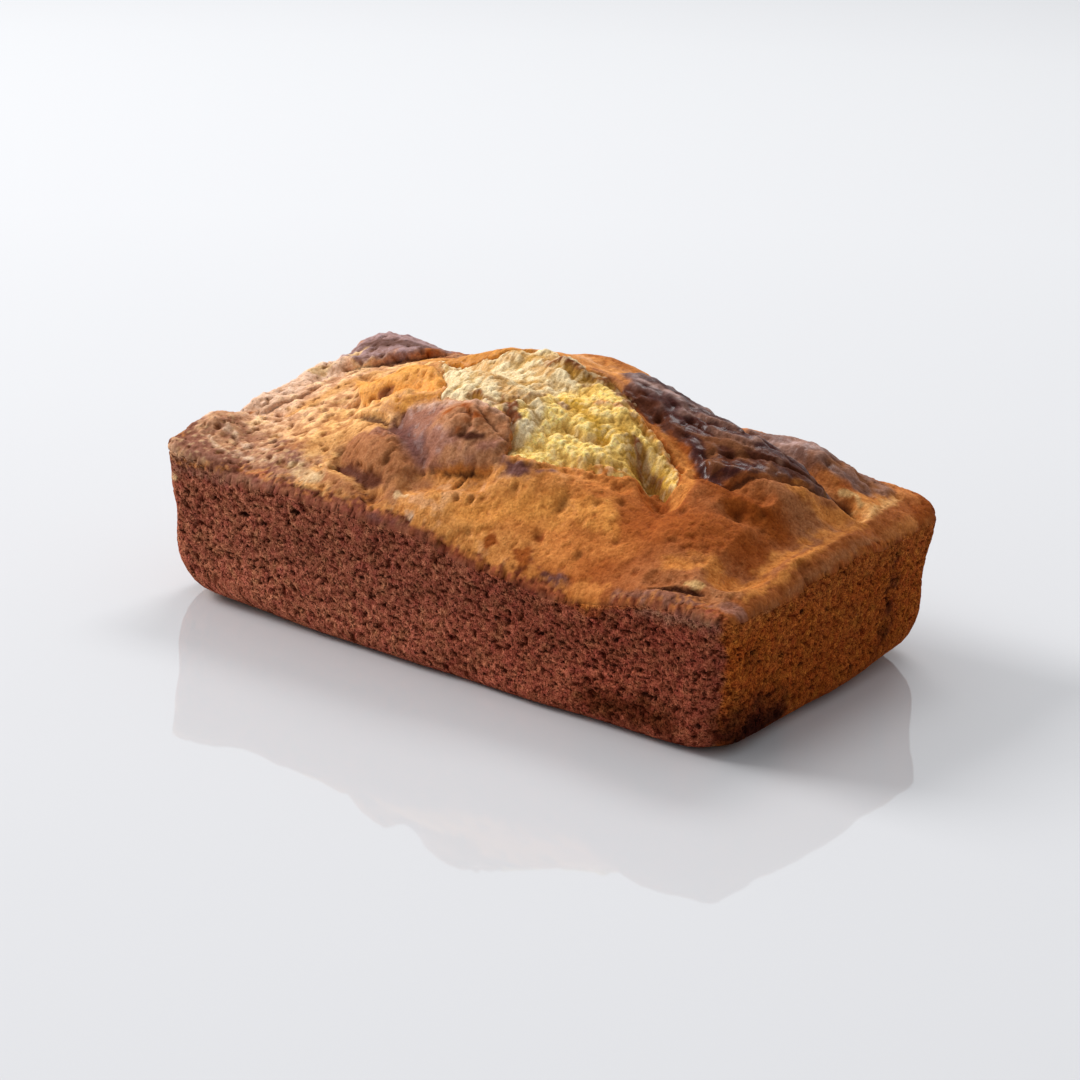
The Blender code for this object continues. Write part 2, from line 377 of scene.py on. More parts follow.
def skin_points(u, v, ring):
    """Give each point's place, the direction its skin faces, and its depth below the rim."""
    x, y = in_plan(u, v, 0.0, CORNER)
    z = crust(x, y)
    slope = 0.5
    dx = (crust(x + slope, y) - crust(x - slope, y)) / (2 * slope)
    dy = (crust(x, y + slope) - crust(x, y - slope)) / (2 * slope)
    up = np.stack([-dx, -dy, np.ones_like(z)], axis=1)
    up /= np.linalg.norm(up, axis=1, keepdims=True)
    ox, oy = outward(x, y)
    out = np.stack([ox, oy, np.zeros_like(z)], axis=1)
    turn = np.clip(1 - inside_edge(x, y) / RIM_ROUND, 0, 1)[:, None] ** 2
    facing = up * (1 - turn) + out * turn

    down = np.clip(ring / WALL_STEPS, 0, 1)
    bend = np.clip((ring - WALL_STEPS) / BASE_STEPS, 0, 1) * math.pi / 2
    base_round = base_edge(u, v)
    wall_z = (1 - down) * z + down * base_round * (1 - np.sin(bend))
    under_lip = np.clip((z - wall_z) / LIP_DEPTH, 0, 1)
    inset = TAPER * (1 - wall_z / z) + LIP * under_lip + base_round * (1 - np.cos(bend))
    wall_x, wall_y = in_plan(u, v, inset, CORNER + BASE_CORNER * down)
    swell = WALL_UNEVEN * under_lip * waves(wall_x + wall_y, 2 * wall_z, WALL_WAVE)
    below = ring > 0
    place = np.where(below, (wall_x - swell * u, wall_y - swell * v, wall_z), (x, y, z)).T
    drop = np.where(below, z - wall_z, 0.0)
    facing = np.where(below[:, None], out * np.cos(bend)[:, None], facing)
    return place, facing, drop


def read_sheet(mesh, layer):
    """Read a sheet's own coordinates, with its cells drawn together near the edges."""
    flat = np.array([point.co.xy for point in mesh.verts])
    u, v = (flat + EDGE_GATHER * np.sin(math.pi * flat) / math.pi).T
    return u, v, np.array([point[layer] for point in mesh.verts])


lid_u, lid_v, lid_level = read_sheet(lid, lid_ring)
lid_place, lid_facing, lid_drop = skin_points(lid_u, lid_v, np.clip(lid_level, 0, None))
case_u, case_v, case_level = read_sheet(case, case_ring)
case_place, case_facing, case_drop = skin_points(case_u, case_v, np.clip(case_level, 0, None))
print("lid from", lid_place.min(axis=0).round(1), "to", lid_place.max(axis=0).round(1))

# %% Close the inner ledge and centre the skin on the solid
def on_ledge(place, u, v, level):
    """Move the points of the inner ring to the ledge inside the loaf."""
    ledge_x, ledge_y = in_plan(u, v, LEDGE_IN, CORNER)
    ledge = np.stack([ledge_x, ledge_y, np.full_like(u, LEDGE_Z)], axis=1)
    return np.where(level[:, None] < 0, ledge, place)


lid_place = on_ledge(lid_place, lid_u, lid_v, lid_level)
case_place = on_ledge(case_place, case_u, case_v, case_level)
skin_low = np.minimum(lid_place.min(axis=0), case_place.min(axis=0))
skin_high = np.maximum(lid_place.max(axis=0), case_place.max(axis=0))
middle = (skin_low + skin_high) / 2
middle[2] = skin_low[2]
lid_place -= middle
case_place -= middle
print("skin moved by", (-middle).round(2), "mm; it is", (skin_high - skin_low).round(1), "mm")

# %% [markdown]
# ## Where the crust tore, and where it ends
# Steam lifted the crust and tore it along the middle.  A torn opening has a crisp, winding
# border, so it is given as an outline of places on the cake, in millimetres from its middle.
# Lower down, the crust ends on a wavy line round the rim, and bare sponge begins.


# %% Outlines and the crust's line
def patch(places, outline):
    """Give how many millimetres inside a closed outline each place lies; negative outside."""
    spot, ends = places[:, :2], np.array(outline, dtype=float)
    inside = np.zeros(len(spot), dtype=bool)
    nearest = np.full(len(spot), 1e3)
    for a, b in zip(ends, np.roll(ends, -1, axis=0)):
        run = b - a
        t = np.clip((spot - a) @ run / (run @ run), 0, 1)
        nearest = np.minimum(nearest, np.linalg.norm(spot - a - t[:, None] * run, axis=1))
        crosses = (a[1] > spot[:, 1]) != (b[1] > spot[:, 1])
        inside ^= crosses & (spot[:, 0] < a[0] + (spot[:, 1] - a[1]) * run[0] / (run[1] or 1e-9))
    return np.where(inside, nearest, -nearest)


CRACK = ((-55, 11), (-40, 8), (-28, 7.5), (-22, 11), (-10, 15), (2, 12), (10, 7.5), (22, 8), (31, 4), (38, -2),
         (46, -4), (56, -8), (62, -11), (66, -19), (63, -22), (57, -19), (52, -23), (47, -28), (37, -30), (31, -32),
         (27, -38), (21, -41), (14, -41), (11, -35), (8, -30), (0, -31), (-11, -28), (-24, -27), (-27, -20),
         (-37, -10), (-44, -7), (-46, 2))
LOBE = ((-50, -47), (-48, -42), (-40, -44), (-37, -35), (-34, -30), (-24, -28), (-10, -30), (0, -33), (8, -31),
        (11, -34), (13, -40), (12, -44), (8, -46), (2, -48), (-7, -50), (-14, -50), (-22, -57), (-32, -56), (-43, -52))
TONGUE = ((-86, 0), (-78, 7), (-66, 4), (-52, -4), (-42, -7), (-31, -12), (-32, -20), (-40, -26), (-52, -24),
          (-68, -14))
CORNER_PEAK = ((-114, 28), (-110, 46), (-98, 54), (-80, 54), (-72, 44), (-78, 35), (-83, 30), (-92, 25), (-101, 18),
               (-108, 20))
MOTTLED = ((-114, -52), (-104, -38), (-80, -44), (-62, -47), (-54, -54), (-60, -66), (-116, -66))
DARK_STRIP = ((-49, -50), (-43, -50), (-33, -53.5), (-25, -54.5), (-23, -56), (-30, -57), (-39, -55), (-47, -52))
GLOSSY_FOLD = ((20, 12), (30, 7), (41, 4), (49, 1.5), (56, -2), (64, -5), (71, -10), (77, -8), (84, -1), (92, 7),
               (97, 20), (94, 29), (80, 27), (66, 31), (50, 35), (36, 31), (25, 22))
FRONT_LINE = ((-115, 47), (-91, 50), (-45, 50.5), (-10, 50), (6, 47), (21, 44), (40, 42.5), (58, 40), (67, 38.5),
              (73, 43), (84, 45.5), (115, 48))
END_LINE = ((-64.5, 45), (-50, 43), (-34, 43.5), (-5, 47.5), (15, 49), (33, 47), (64.5, 47))


def lip_edge(place, n):
    """Give how far the torn lip strays from its line: ragged, but cleaner at the right end."""
    stray = 1.7 * n["border"] + 0.6 * n["bumps"] + 0.3 * n["grit"]
    return stray * (0.3 + 0.7 * edge(106 - place[:, 0], 6))


def sponge_side(place, ragged):
    """Give 1 where the skin is bare sponge and 0 where it is crust."""
    x, y, z = place.T
    front = np.where(y < 0, along(FRONT_LINE, x), along(BACK_RIM, x) - 2.5)
    end = np.where(x > 0, along(END_LINE, y), along(LEFT_RIM, y) - 2.5)
    turn = edge(np.abs(x) - np.abs(y) - (LENGTH - WIDTH) / 2, 6.0)
    line = front * (1 - turn) + end * turn
    return edge(line - z + ragged, 0.6) * (inside_edge(x, y) < 7)


print("the crack is", 66 + 55, "mm long")

# %% [markdown]
# ## Relief
# A baked crust is never smooth: it blisters, wrinkles where it dried over wet batter, and
# steps down where it tore.  The sides are sponge, with ragged pores wherever bubbles met
# the tin.  Every point of the skin moves along the direction it faces by the sum of these.
# The same noises drive the paint, which lays painted shade in the hollows and painted light on the bumps.

# %% Pits and splits
# Dents and blisters that burst: place, radius and depth.
PITS = ((40, -45, 2.6, 1.6), (6, -55, 1.1, 1.6), (11, -54, 0.9, 1.4), (54, -55, 1.3, 1.2), (38, -54, 1.6, 0.9),
        (-2, -42, 1.8, 2.4), (-25, -52, 1.0, 1.4), (-70, -16, 1.8, 1.8), (-50, -47, 2.0, 2.4), (-87, -18, 1.5, 1.5),
        (-76, -24, 1.6, 1.8), (-82, -28, 1.4, 1.2), (-57, -15, 2.2, 1.6), (-109, -10, 1.8, 1.8), (97, 28, 2.8, 3.2),
        (112, -20, 2.2, 1.2), (87, -18, 1.8, 1.4), (93, -13, 1.4, 1.2), (63, -48, 1.2, 0.8), (80, -42, 1.5, 0.9),
        (32, 2, 2.0, 2.2), (42, 3, 2.0, 2.2), (66, -3, 2.2, 2.2), (24, -48, 1.0, 0.8), (70, -34, 1.4, 0.9),
        (-33, -49, 1.2, 0.8), (15, -60, 1.1, 0.9), (50, -41, 1.3, 1.0), (56, -36, 1.2, 1.0), (75, -30, 1.5, 1.0))
SPLITS = (((-12, -50, 0.5), (-2, -49.5, 0.9), (6, -47.5, 0.9), (12, -46, 0.5)), ((6, -46, 0.8), (4, -49, 0.8), (2, -52, 0.5)),
          ((76, -15, 0.8), (79, -9, 1.5), (83, -5, 1.3), (88, 0, 0.9), (95, 10, 1.2), (97, 22, 1.4)),
          ((84, -61, 0.8), (91, -58, 1.7), (100, -56, 0.9)), ((-84, 4, 0.6), (-62, 2, 1.2), (-44, -4, 1.6), (-36, -8, 1.2)),
          ((-58, -30, 0.8), (-50, -33, 1.5), (-45, -34, 1.7), (-39, -35.5, 1.4)), ((50, 8, 0.7), (62, 6, 1.0), (74, 8, 0.7)),
          ((-100, 15, 0.6), (-90, 24, 1.2), (-80, 31, 1.2), (-72, 40, 0.8)), ((-106, -26, 0.6), (-98, -12, 1.0), (-95, 2, 0.7)),
          ((-9, -40, 0.5), (-7, -37, 0.9), (-3, -37, 0.9), (-1, -40, 0.7)), ((-3, -34, 0.5), (3, -36, 1.0), (8, -37, 0.6)),
          ((44, 12, 0.5), (58, 10, 1.2), (74, 14, 1.2), (90, 19, 0.8)), ((58, 24, 0.5), (72, 22, 1.2), (88, 26, 0.8)),
          ((66, -1, 0.6), (76, 4, 1.2), (86, 10, 1.2), (94, 20, 0.8)))
BACK_LOBE = ((58, 42, 6), (74, 42, 9), (94, 48, 9))
NOISES = {"lumps": (10.0, 2, 0.0), "bumps": (3.6, 2, 3.0), "grit": (1.3, 2, 7.0), "border": (5.0, 3, 5.0), "swirl": (19.0, 2, 4.0),
          "dents": (2.4, 1, 13.0), "folds": (4.2, 2, 17.0), "pores": (1.9, 2, 31.0), "small pores": (1.2, 1, 37.0), "specks": (1.6, 1, 41.0)}
FLATTEN = (0.85, 0.85, 1.2)
ALONG_FOLD = (0.5, 1.0, 0.7)


def all_noises(place):
    """Work out every noise once, so that relief and paint share them."""
    shapes = {"pores": FLATTEN, "small pores": FLATTEN, "folds": ALONG_FOLD}
    return {name: grain(place * shapes.get(name, 1.0), *settings) for name, settings in NOISES.items()}


def below(noise_field, level, width):
    """Give 1 where a noise lies well under a level and 0 above it."""
    return edge(level - noise_field, width)


# %% Relief of the skin
def relief(place, n):
    """Give how far the skin stands out of its smooth form, in millimetres."""
    x, y = place[:, 0], place[:, 1]
    torn = patch(place, CRACK) + 1.3 * n["bumps"] + 0.7 * n["grit"]
    lobe = patch(place, LOBE) + 1.2 * n["bumps"]
    pitted = 0.35 + 0.65 * edge(-x - 30, 40)
    top = 0.6 * n["lumps"] + 0.22 * n["bumps"] + 0.13 * n["grit"] - 0.8 * pitted * below(n["dents"], -0.38, 0.14)
    top += 0.9 * edge(torn + 2.0, 2.2) * (1 - edge(torn, 0.8)) * edge(-y - 2, 8) - 5.5 * edge(torn - 1.0, 2.0)
    top += 0.7 * edge(lobe, 1.4) * (1 - edge(torn, 1.5)) * edge(x + 34, 14)
    top += 1.3 * edge(patch(place, TONGUE) + 1.5 * n["bumps"], 1.8)
    top += 1.0 * edge(patch(place, CORNER_PEAK) + 1.5 * n["bumps"], 2.5)
    top -= 1.0 * edge(patch(place, DARK_STRIP) + 0.6 * n["bumps"], 1.2)
    for pit_x, pit_y, radius, depth in PITS:
        away = np.hypot(x - pit_x, y - pit_y) / radius
        top -= depth * np.exp(-(away * (1 + 0.5 * n["bumps"])) ** 2)
    for line in SPLITS:
        top -= 1.3 * edge(stroke(place[:, :2], line) + 0.6 * n["grit"] - 0.3, 0.9)
    wrinkled = np.maximum(edge(patch(place, GLOSSY_FOLD) + n["bumps"], 3), edge(stroke(place[:, :2], BACK_LOBE), 5))
    top += wrinkled * (1.2 * n["folds"] + 0.4)
    left = edge(-x - 96, 16)
    top += left * (0.6 * n["bumps"] + 0.2 * n["grit"])
    side = 0.4 * n["lumps"] + 0.12 * n["grit"] - 0.7 * below(n["pores"], -0.42, 0.2) - 0.4 * below(n["small pores"], -0.3, 0.2)
    bare = sponge_side(place, lip_edge(place, n))
    return top * (1 - bare) + (side + 0.2) * bare


lid_noises, case_noises = all_noises(lid_place), all_noises(case_place)
lid_relief = relief(lid_place, lid_noises) * (lid_level >= 0)
case_relief = relief(case_place, case_noises) * (case_level >= 0)
print(f"crust relief from {lid_relief.min():.1f} to {lid_relief.max():.1f} mm")

# %% Larger holes of the sides
rng = np.random.default_rng(7)
HOLE_COUNT = 150
around = np.flatnonzero((case_level > 3) & (case_level < WALL_STEPS))
hole_spots = case_place[rng.choice(around, HOLE_COUNT, replace=False)]
hole_sizes = 0.7 + 0.9 * rng.random(HOLE_COUNT) ** 2
BIG_HOLES = ((-77, -64.5, 36, 2.2), (-68, -64.5, 35, 1.8), (-54, -64.5, 42, 2.2), (42, -64.5, 38, 1.6), (-20, -64.5, 21, 1.5))
hole_spots = np.vstack([hole_spots, [hole[:3] for hole in BIG_HOLES]])
hole_sizes = np.append(hole_sizes, [hole[3] for hole in BIG_HOLES])
hole_depth = np.zeros(len(case_place))
for spot, size in zip(hole_spots, hole_sizes):
    near = np.flatnonzero(np.abs(case_place - spot).max(axis=1) < 3 * size)
    across = (case_place[near] - spot) * (1, 1, 1.9) / size
    away = np.linalg.norm(across, axis=1) + 0.5 * case_noises["grit"][near]
    hole_depth[near] = np.maximum(hole_depth[near], size * np.clip(1 - away * away, 0, None) ** 0.7)
hole_depth *= edge(case_drop - 3, 3) * (case_level >= 0)
print(len(hole_spots), "holes,", int((hole_depth > 0.2).sum()), "points inside them")


# %% Press the relief into the skin
def press(place, facing, amount, level):
    """Move points along their facing, keeping the base flat and above the floor."""
    moved = place + facing * amount[:, None]
    in_base = np.clip((level - WALL_STEPS) / BASE_STEPS, 0, 1)[:, None]
    moved = moved * (1 - in_base) + place * in_base
    moved[:, 2] = np.clip(moved[:, 2], 0, None)
    return moved


lid_skin = press(lid_place, lid_facing, lid_relief, lid_level)
case_skin = press(case_place, case_facing, case_relief - hole_depth, case_level)
print("lid", lid_skin.min(axis=0).round(1), lid_skin.max(axis=0).round(1))
print("case", case_skin.min(axis=0).round(1), case_skin.max(axis=0).round(1))

# %% [markdown]
# ## Paint
# Each finish is a colour, how shiny it is, and how open its crumb is.  The thin crust over
# butter batter bakes gold, deeper in the middle; chocolate batter bakes to a dark, glossy
# skin with a violet bloom; the sides are matt sponge, chocolate in front and amber at the end.

# %% Finishes
# Some finishes are painted light and shade, not the cake's own colour: pale highlights on the glossy fold, the lobe
# and the back lobe, and dark shade in pits, splits, gaps and parts of the crumb.
FINISHES = {
    "gold crust": ("#e4a662", 0.45, 0.6), "pale gold crust": ("#d29658", 0.3, 0.6),
    "bright gold crust": ("#ca8438", 0.45, 0.5), "gold tongue": ("#e59d4c", 0.35, 0.0),
    "left rim crust": ("#e2b898", 0.25, 0.7), "mottled brown crust": ("#bd8762", 0.25, 0.8),
    "rosy gold crust": ("#ecba90", 0.45, 0.6), "golden orange crust": ("#d68d48", 0.35, 0.35), "orange crust": ("#ca7a3a", 0.25, 0.2), "deep orange crust": ("#a05220", 0.1, 0.25),
    "brown crust": ("#984c1a", 0.15, 0.4), "golden tip": ("#c87c3a", 0.2, 0.0),
    "violet crust": ("#9c644c", 0.55, 0.3), "milk brown crust": ("#b57a52", 0.3, 0.4),
    "warm brown crust": ("#aa6c42", 0.2, 0.0), "violet valley": ("#70443a", 0.4, 0.0),
    "dark strip": ("#63331f", 0.3, 0.3), "painted highlight": ("#b08c80", 0.6, 0.0),
    "chocolate gloss": ("#441409", 0.9, 0.0), "chocolate gloss, low": ("#5a2c18", 0.5, 0.0),
    "bloomed chocolate": ("#7a5242", 0.75, 0.0), "toasted chocolate": ("#8d5732", 0.3, 0.0),
    "bloomed corner": ("#a2807a", 0.35, 0.2), "corner core": ("#6b4a40", 0.3, 0.1),
    "beige crust": ("#d3ab8a", 0.2, 0.2), "cream lump": ("#dcb382", 0.2, 0.2),
    "violet brown band": ("#94604a", 0.2, 0.5), "pit shade": ("#4a2414", 0.1, 0.0),
    "cream crumb": ("#ead0a0", 0.1, 0.4), "tan crumb": ("#cfa066", 0.1, 0.4),
    "yellow crumb": ("#ffd274", 0.1, 0.4), "shaded crumb": ("#b98a3c", 0.1, 0.4),
    "brown crumb": ("#bc9068", 0.1, 0.4), "yellow crumb in painted shade": ("#d9a63e", 0.1, 0.4),
    "chocolate crumb": ("#80482c", 0.2, 0.4),
    "chocolate sponge": ("#99563f", 0.0, 1.0), "red chocolate sponge": ("#924c36", 0.0, 1.0),
    "warm chocolate sponge": ("#9c5a42", 0.0, 1.0), "amber sponge": ("#a85520", 0.0, 0.7),
    "light amber sponge": ("#ab5c28", 0.0, 0.7), "dark sponge": ("#5a2a16", 0.0, 0.8),
    "black sponge": ("#3a1710", 0.0, 1.0), "bright orange crust": ("#e29244", 0.4, 0.2),
    "speckled gold crust": ("#f6c47c", 0.4, 0.6),
    "end brown crust": ("#a5683f", 0.3, 0.4), "painted lobe highlight": ("#cc9c7e", 0.5, 0.1), "lip crust": ("#a05828", 0.2, 0.1),
}
values = {name: np.array([*colour(code), shine, sponge]) for name, (code, shine, sponge) in FINISHES.items()}
print(len(values), "finishes")

# %% Coats on the crust
# Each coat: finish, kind of shape, softness and raggedness in mm, and its points.
TOP_COATS = (
    ("left rim crust", stroke, 9, 3, ((-112, -46, 6), (-110, -12, 8), (-110, 16, 8))),
    ("mottled brown crust", patch, 9, 5, MOTTLED),
    ("violet brown band", stroke, 3, 3, ((-112, -48, 2), (-112, -57, 5), (-100, -60, 5), (-84, -60.5, 4), (-68, -60, 3))),
    ("mottled brown crust", stroke, 6, 5, ((-112, -30, 3), (-106, -44, 5), (-98, -52, 4))),
    ("beige crust", stroke, 1.5, 1.5, ((-106, -53, 0.8), (-94, -57, 1.3), (-83, -56, 1.3), (-73, -55, 0.8))),
    ("beige crust", stroke, 1.5, 2, ((-102, -46, 0.8), (-90, -50, 1), (-78, -50, 0.8))),
    ("violet valley", stroke, 3, 2, ((-82, -43, 1.5), (-72, -48, 1), (-64, -53, 1.8))),
    ("mottled brown crust", stroke, 3, 3, ((-98, -14, 0.5), (-94, 4, 0.8), (-89, 20, 0.8), (-80, 34, 1.5), (-66, 42, 2))),
    ("warm brown crust", stroke, 4, 3, ((-74, -48, 2), (-66, -46, 3), (-60, -47, 1))),
    ("bloomed corner", patch, 3, 3, CORNER_PEAK),
    ("corner core", stroke, 3, 2, ((-107, 33, 3), (-99, 33, 4), (-90, 35, 4), (-79, 37, 2.5))),
    ("cream lump", stroke, 2, 2, ((-110, 8, 2), (-107, 14, 1.5))),
    ("cream lump", stroke, 2, 2, ((-106, 26, 1.5), (-103, 30, 1))),
    ("gold tongue", patch, 3, 2, TONGUE),
    ("pale gold crust", stroke, 5, 2, ((-92, -24, 3), (-86, -6, 4), (-80, 8, 3))),
    ("bright gold crust", stroke, 2.5, 1.5, ((-80, 26, 1), (-60, 18, 4), (-45, 11, 4), (-28, 9, 3), (-18, 12, 1.5))),
    ("bright gold crust", stroke, 1.5, 1, ((-45, -31, 1.2), (-34, -29, 3), (-24, -27.5, 2.5), (-19, -27, 1.2))),
    ("pale gold crust", stroke, 5, 3, ((-62, -46, 4), (-54, -40, 4), (-46, -38, 3))),
    ("orange crust", stroke, 8, 3, ((22, -54, 4), (40, -48, 7), (60, -44, 10))),
    ("deep orange crust", stroke, 12, 3, ((50, -44, 6), (66, -38, 9), (84, -34, 10), (98, -26, 8))),
    ("warm brown crust", stroke, 5, 2, ((-46, -58, 2), (-30, -61, 3), (-16, -58, 2))),
    ("bright orange crust", stroke, 6, 3, ((8, -57, 2), (17, -56, 4), (26, -50, 3), (40, -46, 3), (53, -42, 4), (58, -45, 2))),
    ("brown crust", stroke, 2, 2, ((38, -60, 0.8), (45, -61, 1.5), (57, -62.5, 1.5), (66, -61, 0.8))),
    ("violet crust", patch, 1.6, 1.2, LOBE),
    ("warm brown crust", stroke, 7, 2, ((-47, -46, 4), (-36, -50, 6), (-20, -53, 5), (-8, -52, 2))),
    ("milk brown crust", stroke, 6, 3, ((-12, -36, 5), (-2, -38, 6), (6, -36, 5))),
    ("milk brown crust", stroke, 4, 4, ((-4, -47, 1.5), (4, -45, 2), (16, -43, 2), (10, -36, 2))),
    ("brown crust", stroke, 2, 3, ((-14, -37, 0.8), (-8, -35, 1.2), (0, -37, 1.2), (-4, -42, 0.8))),
    ("violet valley", stroke, 4, 2, ((-37, -34, 1.5), (-27, -40, 3), (-18, -45, 2.5), (-12, -48, 0.5))),
    # Painted highlight along the lobe's upper edge.
    ("painted lobe highlight", stroke, 3, 1, ((-33, -30, 0.6), (-20, -28.5, 1.6), (-12, -29.5, 1.6), (-3, -31, 1.8), (6, -31, 1))),
    ("golden tip", stroke, 1.2, 1, ((-6, -50, 0.6), (3, -48, 0.9), (8, -47, 0.9), (12, -45.5, 0.6))),
    # Painted shade in the crevice under the lobe.
    ("pit shade", stroke, 1.2, 1.2, ((-5, -44, 0.4), (0, -42.5, 1), (5, -41, 0.5))),
    ("dark strip", patch, 1, 1, DARK_STRIP),
    ("violet valley", stroke, 2, 1.5, ((15, -43, 1), (22, -44, 1.8), (28, -42, 1.5), (31, -39, 1))),
    ("brown crust", stroke, 1, 1, ((37, -54, 0.7), (39, -54, 0.9))),
    ("warm brown crust", stroke, 1, 1, ((-59, -15, 1.6), (-55, -15, 1.6))),
    ("brown crust", stroke, 8, 3, ((76, -14, 4), (86, -14, 6), (98, -12, 6))),
    ("warm brown crust", stroke, 4, 3, ((90, 1, 2), (95, 9, 3), (96, 28, 2.5))),
    ("brown crust", stroke, 3, 2, ((24, 11, 1), (38, 5, 2), (50, 1, 2.5), (62, -4, 3), (70, -9, 3))),
    ("chocolate gloss", patch, 2, 1.5, GLOSSY_FOLD),
    ("chocolate gloss, low", stroke, 4, 3, ((58, 3, 2), (70, 2, 4), (84, 8, 4), (93, 18, 3))),
    ("warm brown crust", stroke, 3, 2, ((12, 9, 1), (22, 9, 2), (28, 7, 2))),
    ("brown crust", stroke, 2, 2, ((28, 5, 1.2), (34, 2.5, 2), (42, 1, 1.5))),
    # Painted shade in the pits at the foot of the glossy fold.
    ("pit shade", stroke, 1.5, 1.5, ((31, 4, 0.6), (36, 4, 1.4), (41, 4, 1.2))),
    # Painted highlight on the crest of the glossy fold.
    ("painted highlight", stroke, 2, 1.5, ((28, 12, 0.6), (34, 14, 1.6), (41, 15, 1.2))),
    ("chocolate gloss, low", stroke, 2, 2.5, ((24, 10, 0.8), (30, 7, 2.5), (38, 5, 3), (46, 2, 2.5), (53, 0, 1.5))),
    ("golden tip", stroke, 1.5, 1.5, ((48, -3, 0.8), (55, -5, 1.6), (62, -9, 1.8), (67, -15, 2.4), (69, -24, 3.5))),
    ("chocolate gloss", stroke, 2.5, 1.5, ((60, -3, 1.5), (68, -8, 2.5), (75, -11, 2), (80, -12, 1))),
    ("bloomed chocolate", stroke, 4, 2, BACK_LOBE),
    # Painted highlight on the back lobe.
    ("painted highlight", stroke, 3, 3, ((60, 37, 1), (68, 38, 2.5), (76, 43, 2.5), (84, 45, 1))),
    ("toasted chocolate", stroke, 6, 3, ((80, 38, 1), (88, 48, 4), (97, 50, 6), (102, 50, 4))),
    ("golden tip", stroke, 5, 3, ((92, 2, 1), (99, 10, 3), (104, 20, 3), (102, 34, 4), (105, 50, 4))),
    ("gold crust", stroke, 4, 3, ((97, 24, 0.8), (102, 27, 2), (107, 28, 3), (106, 50, 3))),
    ("golden tip", stroke, 3, 3, ((92, -43, 0.5), (98, -44, 2), (104, -38, 2), (105, -6, 1.5), (105, 8, 1))),
    ("golden tip", stroke, 5, 3, ((84, -50, 3), (95, -44, 4), (106, -47, 4), (107, -30, 1.5))),
    ("lip crust", stroke, 3, 1.5, ((113, -60, 3), (111.5, -30, 3), (110, -5, 3), (110, 30, 3), (108, 56, 3))),
    ("golden tip", stroke, 2, 1.5, ((111, -50, 1.2), (110, -20, 1.3), (108, 4, 1.5), (108, 24, 1.3))),
    ("brown crust", stroke, 3, 2, ((113, 50, 2.5), (112, 60, 4))),
    # Painted shade in the deep pit by the right end.
    ("pit shade", stroke, 2, 1, ((92, 29, 1.2), (97, 28, 3))),
    ("tan crumb", stroke, 1.2, 1, ((94, 33, 0.8), (98, 35, 1.0), (101, 33, 0.7))),
    ("brown crust", stroke, 1.5, 1, ((85, -18, 2.2), (92, -14, 1.5))),
    ("cream lump", stroke, 1.6, 1.5, ((-63, -56, 1.2), (-57, -57, 2.8), (-50, -59, 2.2))),
    ("cream lump", stroke, 1, 1, ((-15, -58, 1), (-12, -58, 1.4))),
    ("beige crust", stroke, 1.5, 1.5, ((-9, -62, 0.5), (-6, -62.5, 0.8))),
    ("brown crust", stroke, 2, 3.5, ((24, -60, 0.6), (30, -59, 1.2), (39, -61.5, 1.4))),
    ("violet valley", stroke, 2, 2.5, ((40, -60, 0.6), (50, -62, 1.6), (58, -63, 0.8))),
    ("orange crust", stroke, 2, 2, ((54, -63.5, 1), (62, -62.5, 2.6), (69, -63, 1.2))),
    ("violet brown band", stroke, 2, 1.5, ((74, -64, 2), (90, -64, 2.6), (104, -62, 3), (113, -57, 2.4))),
    # Painted shade in the crevice of the front corner.
    ("pit shade", stroke, 1, 0.8, ((84, -61, 0.6), (91, -58, 1.6), (100, -56, 0.8))),
    ("tan crumb", stroke, 0.8, 0.8, ((93, -54.5, 0.9), (98, -54, 1.3))),
)
print(len(TOP_COATS), "coats on the crust")

# %% Coats on the sides
FRONT, END = -64.5, 115
SIDE_COATS = (
    ("light amber sponge", stroke, 6, 3, ((END, -60, 44, 5), (END, 0, 44, 6), (END, 58, 44, 5))),
    ("dark sponge", stroke, 10, 4, ((END, -58, 8, 8), (END, -44, 10, 8), (END, -30, 6, 6))),
    ("black sponge", stroke, 7, 4, ((END, -56, 4, 6), (END, -44, 5, 6), (END, -30, 3, 4))),
    ("dark sponge", stroke, 9, 5, ((END, 30, 12, 1.5), (END, 36, 26, 2), (END, 32, 44, 1))),
    ("dark sponge", stroke, 8, 4, ((66, FRONT, 8, 5), (80, FRONT, 10, 6), (94, FRONT, 8, 5))),
    ("violet valley", stroke, 1.5, 1.5, ((-26, FRONT, 48.5, 0.5), (-12, FRONT, 48, 1.3), (2, FRONT, 47, 0.6))),
    ("golden tip", stroke, 1.2, 1.5, ((-105, FRONT, 48, 0.8), (-97, FRONT, 48.5, 1.2), (-91, FRONT, 48, 0.8))),
    ("cream lump", stroke, 2, 4, ((-114, -62, 38, 0.5), (-113, -63, 44, 1), (-110, FRONT, 42, 0.5))),
    ("violet brown band", stroke, 3, 2, ((-112, FRONT, 47, 3), (-90, FRONT, 48, 3), (-64, FRONT, 49, 2))),
    ("violet brown band", stroke, 3, 2, ((84, FRONT, 43, 2.5), (108, FRONT, 44, 3))),
)
print(len(SIDE_COATS), "coats on the sides")


# %% Lay the coats
def lay(paint, mask, finish):
    """Cover the paint with a finish wherever the mask is 1."""
    return paint * (1 - mask[:, None]) + values[finish] * mask[:, None]


def blend(stations, t):
    """Blend finishes along a line of (place, finish) stations."""
    spots = [spot for spot, _ in stations]
    rows = np.array([values[finish] for _, finish in stations])
    return np.stack([np.interp(t, spots, column) for column in rows.T], axis=1)


